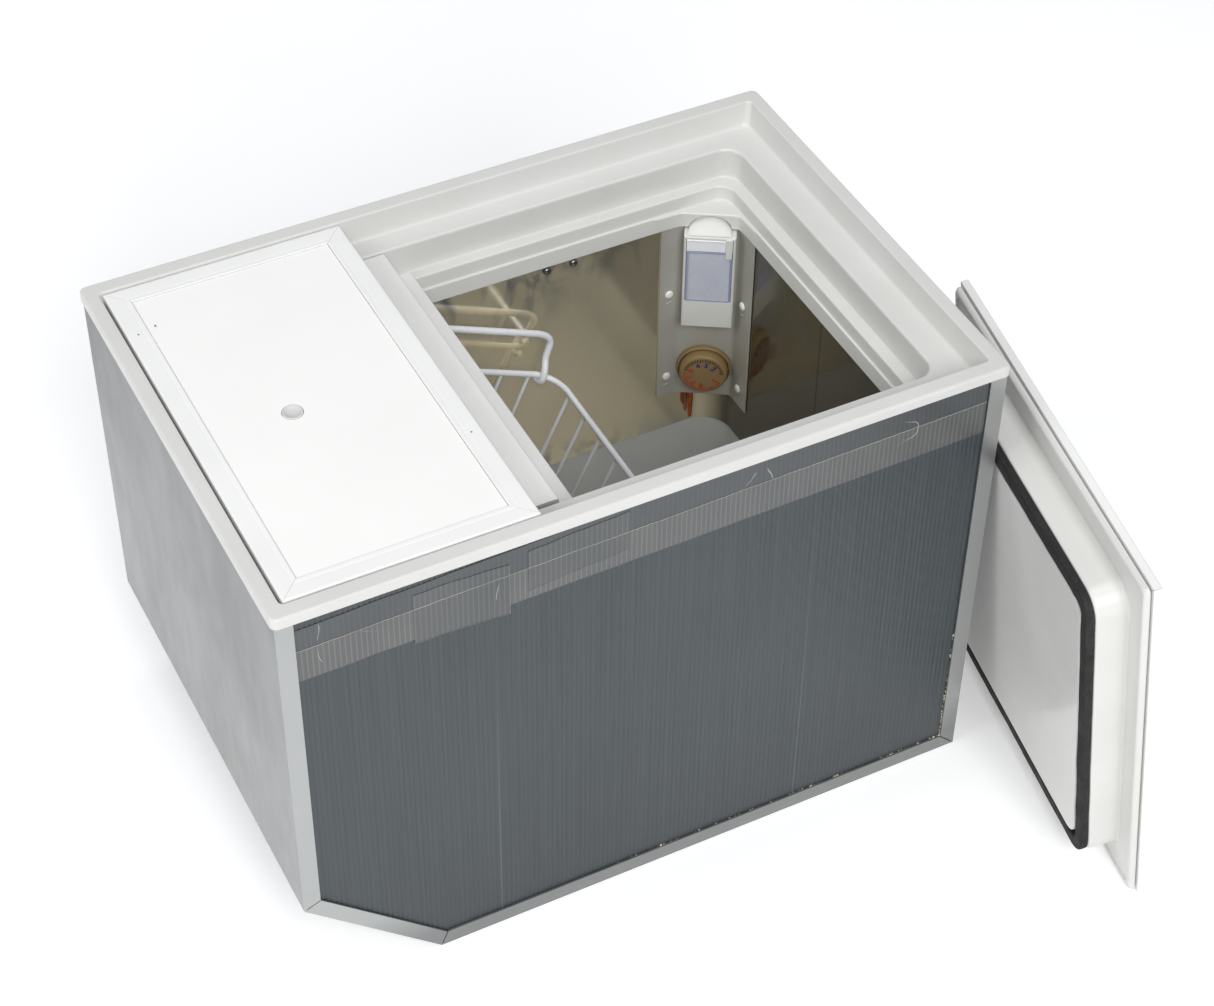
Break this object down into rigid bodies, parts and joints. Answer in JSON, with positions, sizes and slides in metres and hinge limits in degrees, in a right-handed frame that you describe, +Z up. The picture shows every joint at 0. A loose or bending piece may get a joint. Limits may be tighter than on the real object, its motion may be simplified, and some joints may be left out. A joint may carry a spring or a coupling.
{
  "type": "compressor cooler fridge",
  "caption": "Built-in top-opening cooler box with a cut lower edge, two lift-out lids, a divider rail, a corner thermostat and lamp, and a tilted wire basket.",
  "frame": {"origin": "centre of the cabinet's base sheet, on the surface it stands on", "axes": "+Z up out of the lids, +X towards the right lid's side, +Y towards the back with the refrigerant couplings"},
  "size_m": [0.6618, 0.5768, 0.398],
  "materials": {
    "sheet_metal": "matte",
    "fluted_sheet": "satin",
    "foam": "matte",
    "liner": "satin",
    "bracket": "satin",
    "moulding": "satin",
    "evaporator": "polished",
    "screw": "polished",
    "rivet": "satin",
    "dial": "satin",
    "white_plastic": "satin",
    "lens": "gloss",
    "bulb": "satin",
    "copper": "satin",
    "brass": "satin",
    "black_rubber": "matte",
    "gasket": "matte",
    "lid_trim": "satin",
    "lid_panel": "satin",
    "lid_tray": "gloss",
    "coated_wire": "satin"
  },
  "bodies": {
    "cabinet": {"cabinet_shell": "sheet_metal", "front_panel": "fluted_sheet", "back_panel": "fluted_sheet", "insulation_foam": "foam", "inner_liner": "liner", "top_frame": "moulding", "evaporator_plate": "evaporator", "evaporator_screw_left": "screw", "evaporator_screw_right": "screw", "corner_bracket": "bracket", "bracket_rivet_left_upper": "rivet", "bracket_rivet_left_lower": "rivet", "bracket_rivet_right_upper": "rivet", "bracket_rivet_right_lower": "rivet", "thermostat_bezel": "dial", "thermostat_body": "white_plastic", "lamp_housing": "white_plastic", "lamp_lens": "lens", "lamp_bulb": "bulb", "sensor_phial": "copper", "capillary_tube": "copper", "service_plate": "sheet_metal", "suction_coupling": "brass", "liquid_coupling": "brass", "cable_gland": "black_rubber", "divider_rail": "moulding"},
    "left_lid": {"left_lid_front_trim": "lid_trim", "left_lid_right_trim": "lid_trim", "left_lid_back_trim": "lid_trim", "left_lid_left_trim": "lid_trim", "left_lid_panel": "lid_panel", "left_lid_plug": "rivet", "left_lid_tray": "lid_tray", "left_lid_core": "foam", "left_lid_gasket": "gasket"},
    "right_lid": {"right_lid_front_trim": "lid_trim", "right_lid_right_trim": "lid_trim", "right_lid_back_trim": "lid_trim", "right_lid_left_trim": "lid_trim", "right_lid_panel": "lid_panel", "right_lid_plug": "rivet", "right_lid_tray": "lid_tray", "right_lid_core": "foam", "right_lid_gasket": "gasket"},
    "thermostat_knob": {"thermostat_knob": "dial"},
    "basket": {"basket_rim": "coated_wire", "basket_body": "coated_wire"},
    "back_handle": {"back_handle": "coated_wire"},
    "front_handle": {"front_handle": "coated_wire"}
  },
  "joints": [
    {"name": "left_lid_lift", "type": "slide", "parent": "cabinet", "child": "left_lid", "axis": [0, 0, 1], "range_m": [0, 0.18]},
    {"name": "right_lid_lift", "type": "slide", "parent": "cabinet", "child": "right_lid", "axis": [0.2588, 0, 0.9659], "range_m": [0, 0.25]},
    {"name": "thermostat_turn", "type": "hinge", "parent": "cabinet", "child": "thermostat_knob", "pos_m": [0.20749, 0.12351, 0.185], "axis": [-0.5178, -0.8555, 0], "range_deg": [-135, 135]},
    {"name": "basket_shift", "type": "slide", "parent": "cabinet", "child": "basket", "axis": [1, 0, 0], "range_m": [0, 0.08]},
    {"name": "back_handle_swing", "type": "hinge", "parent": "basket", "child": "back_handle", "pos_m": [0.0705, 0.118, 0.232], "axis": [0.9135, 0, -0.4067], "range_deg": [0, 150]},
    {"name": "front_handle_swing", "type": "hinge", "parent": "basket", "child": "front_handle", "pos_m": [0.0705, -0.118, 0.232], "axis": [0.9135, 0, -0.4067], "range_deg": [0, 155]}
  ]
}
